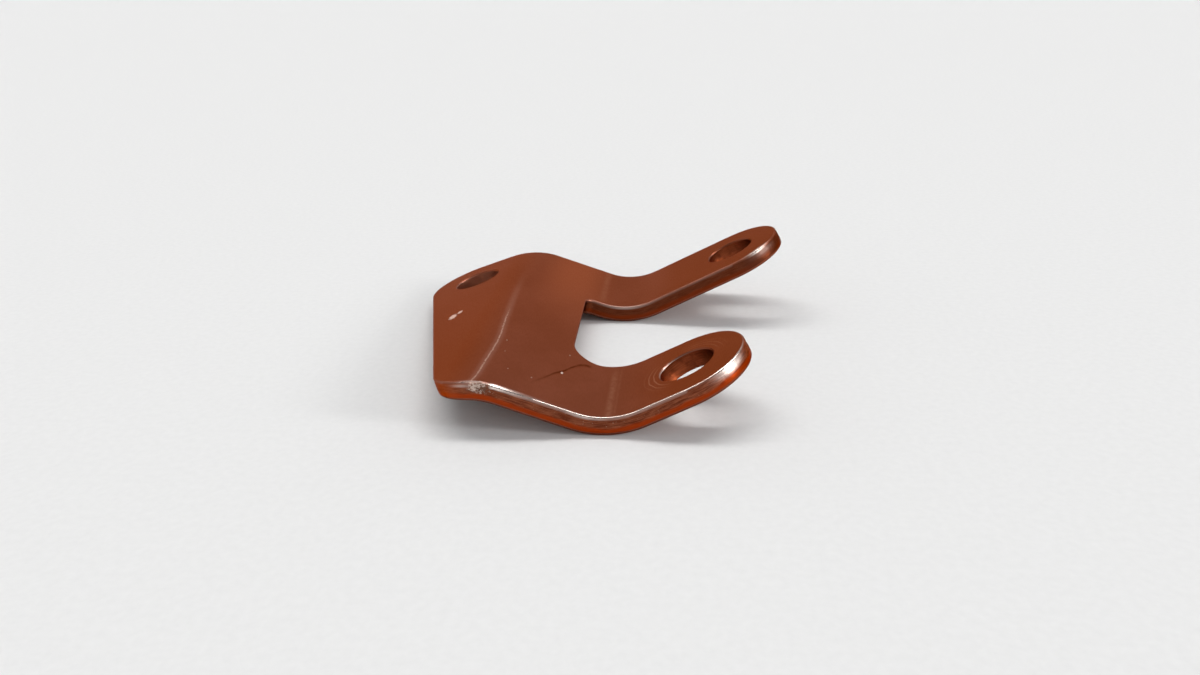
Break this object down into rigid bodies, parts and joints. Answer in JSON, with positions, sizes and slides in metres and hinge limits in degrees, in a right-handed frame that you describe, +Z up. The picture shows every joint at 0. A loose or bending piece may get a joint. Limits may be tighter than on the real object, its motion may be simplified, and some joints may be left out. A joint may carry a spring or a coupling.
{
  "type": "engine bracket",
  "caption": "Bent sheet-metal engine bracket: forked arms with round bored ears and a slanting tail flange with its own bore, joined by a sloping web.",
  "frame": {"origin": "middle of the plate's footprint, at the height of the table it lies on", "axes": "+X towards the ends of the forked arms, +Y from the shorter arm to the longer one, +Z up"},
  "size_m": [0.0642, 0.0628, 0.0146],
  "materials": {
    "bracket_plate": "satin, as rolled and stamped, with a brown tint"
  },
  "bodies": {
    "root": {"bracket_plate": "bracket_plate"}
  },
  "joints": []
}
